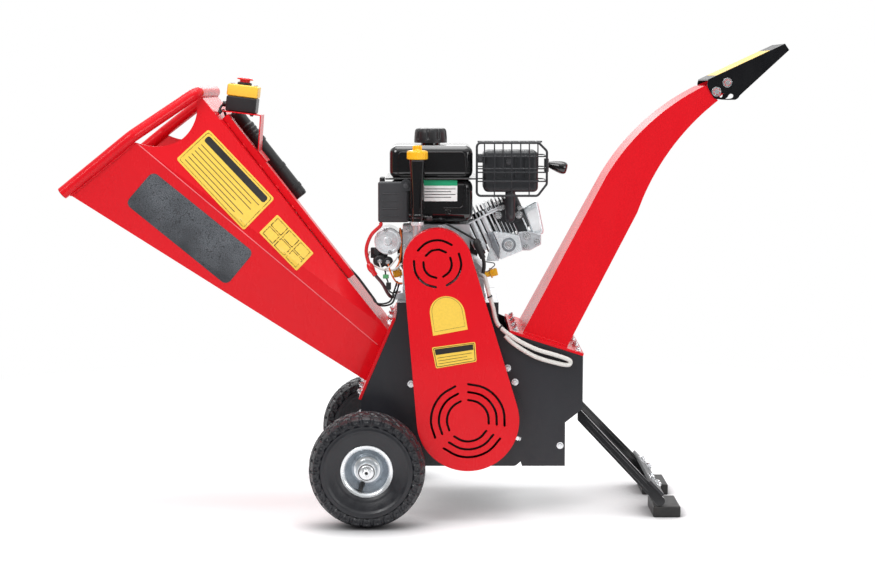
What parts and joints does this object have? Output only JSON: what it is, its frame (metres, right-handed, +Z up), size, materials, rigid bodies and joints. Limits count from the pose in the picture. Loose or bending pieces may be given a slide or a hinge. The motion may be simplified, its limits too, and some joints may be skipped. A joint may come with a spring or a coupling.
{
  "type": "wood chipper",
  "caption": "Wheeled petrol wood chipper with a folded feed hopper, drum rotor under a belt-driven engine, and a curved discharge chute with a tilting hood.",
  "frame": {"origin": "centre of the whole machine's outline on the floor", "axes": "+X from hopper to chute, +Y from the belt guard side to the far side, +Z up"},
  "size_m": [1.5968, 0.622, 1.0515],
  "materials": {
    "alloy": "cast",
    "black_paint": "satin powder coat",
    "black_plastic": "matte",
    "red_paint": "gloss powder coat",
    "red_plastic": "moulded",
    "rubber": "matte",
    "steel": "machined",
    "white_sleeve": "braided sleeve",
    "yellow_plastic": "moulded",
    "zinc": "zinc plated"
  },
  "bodies": {
    "frame": {"axle": "zinc", "bearing_far": "steel", "bearing_near": "steel", "bearing_plate_far": "black_paint", "bearing_plate_near": "black_paint", "bed_knife": "steel", "belt_guard": "red_paint", "blower_housing": "black_plastic", "cable_channel": "red_paint", "chute": "red_paint", "control_cover": "black_plastic", "crankcase_cover": "alloy", "cylinder_baffle": "zinc", "cylinder_head": "alloy", "document_tube": "black_plastic", "drive_belt": "rubber", "engine_block": "alloy", "engine_deck": "black_paint", "foot_far": "rubber", "foot_near": "rubber", "fuel_tank": "black_plastic", "hopper_handle": "red_paint", "hopper_lower": "red_paint", "hopper_upper": "red_paint", "inlet_frame": "black_paint", "lower_scroll": "black_paint", "muffler": "black_paint", "muffler_guard": "black_paint", "oil_filler_tube": "black_plastic", "outlet_frame": "black_paint", "side_plate_far": "black_paint", "side_plate_near": "black_paint", "stand_arm_far": "black_paint", "stand_arm_near": "black_paint", "stand_bar": "black_paint", "stand_cross_plate": "black_paint", "starter_cable": "red_plastic", "starter_motor": "zinc", "stop_cable": "white_sleeve", "switch_base": "black_plastic", "switch_bracket": "red_paint", "switch_lid": "yellow_plastic", "upper_liner": "black_paint"},
    "rotor": {"rotor_shaft": "steel", "rotor_drum": "steel", "rotor_knife_1": "zinc", "rotor_knife_2": "zinc", "rotor_pulley": "steel"},
    "crank": {"crankshaft": "steel"},
    "wheel_near": {"tyre_near": "rubber", "rim_near": "zinc"},
    "wheel_far": {"tyre_far": "rubber", "rim_far": "zinc"},
    "hood": {"deflector": "black_paint"},
    "button": {"stop_button": "red_plastic"},
    "tank_cap": {"fuel_cap": "black_plastic"},
    "filler_cap": {"oil_filler_cap": "yellow_plastic"},
    "plug_left": {"drain_plug_left": "yellow_plastic"},
    "plug_right": {"drain_plug_right": "yellow_plastic"},
    "grip": {"recoil_handle": "black_plastic"}
  },
  "joints": [
    {"name": "rotor_turn", "type": "hinge", "parent": "frame", "child": "rotor", "pos_m": [0.0831, 0, 0.218], "axis": [0, 1, 0], "continuous": true},
    {"name": "crank_turn", "type": "hinge", "parent": "frame", "child": "crank", "pos_m": [0.0161, 0, 0.576], "axis": [0, 1, 0], "continuous": true},
    {"name": "wheel_near_turn", "type": "hinge", "parent": "frame", "child": "wheel_near", "pos_m": [-0.1374, -0.264, 0.1275], "axis": [0, 1, 0], "continuous": true},
    {"name": "wheel_far_turn", "type": "hinge", "parent": "frame", "child": "wheel_far", "pos_m": [-0.1374, 0.264, 0.1275], "axis": [0, 1, 0], "continuous": true},
    {"name": "deflector_tilt", "type": "hinge", "parent": "frame", "child": "hood", "pos_m": [0.6618, 0, 0.9654], "axis": [0, 1, 0], "range_deg": [0, 65]},
    {"name": "stop_press", "type": "slide", "parent": "frame", "child": "button", "axis": [-0.1219, 0, -0.9925], "range_m": [0, 0.005], "stiffness_N_per_m": 300, "springref_m": -0.005},
    {"name": "fuel_cap_turn", "type": "hinge", "parent": "frame", "child": "tank_cap", "pos_m": [0.0004, -0.01, 0.85], "axis": [0, 0, 1], "range_deg": [0, 120]},
    {"name": "oil_cap_turn", "type": "hinge", "parent": "frame", "child": "filler_cap", "pos_m": [-0.0284, -0.146, 0.81], "axis": [0, 0, 1], "range_deg": [0, 270]},
    {"name": "plug_left_turn", "type": "hinge", "parent": "frame", "child": "plug_left", "pos_m": [-0.0711, -0.075, 0.5385], "axis": [-0.9848, 0, -0.1736], "range_deg": [0, 270]},
    {"name": "plug_right_turn", "type": "hinge", "parent": "frame", "child": "plug_right", "pos_m": [0.1386, -0.075, 0.539], "axis": [0.9659, 0, 0.2588], "range_deg": [0, 270]},
    {"name": "recoil_pull", "type": "slide", "parent": "frame", "child": "grip", "axis": [0.8, -0.6, 0], "range_m": [0, 0.5], "stiffness_N_per_m": 20, "springref_m": -0.05}
  ],
  "couplings": [
    {"joint": "crank_turn", "follows": "rotor_turn", "ratio": 1.24}
  ]
}
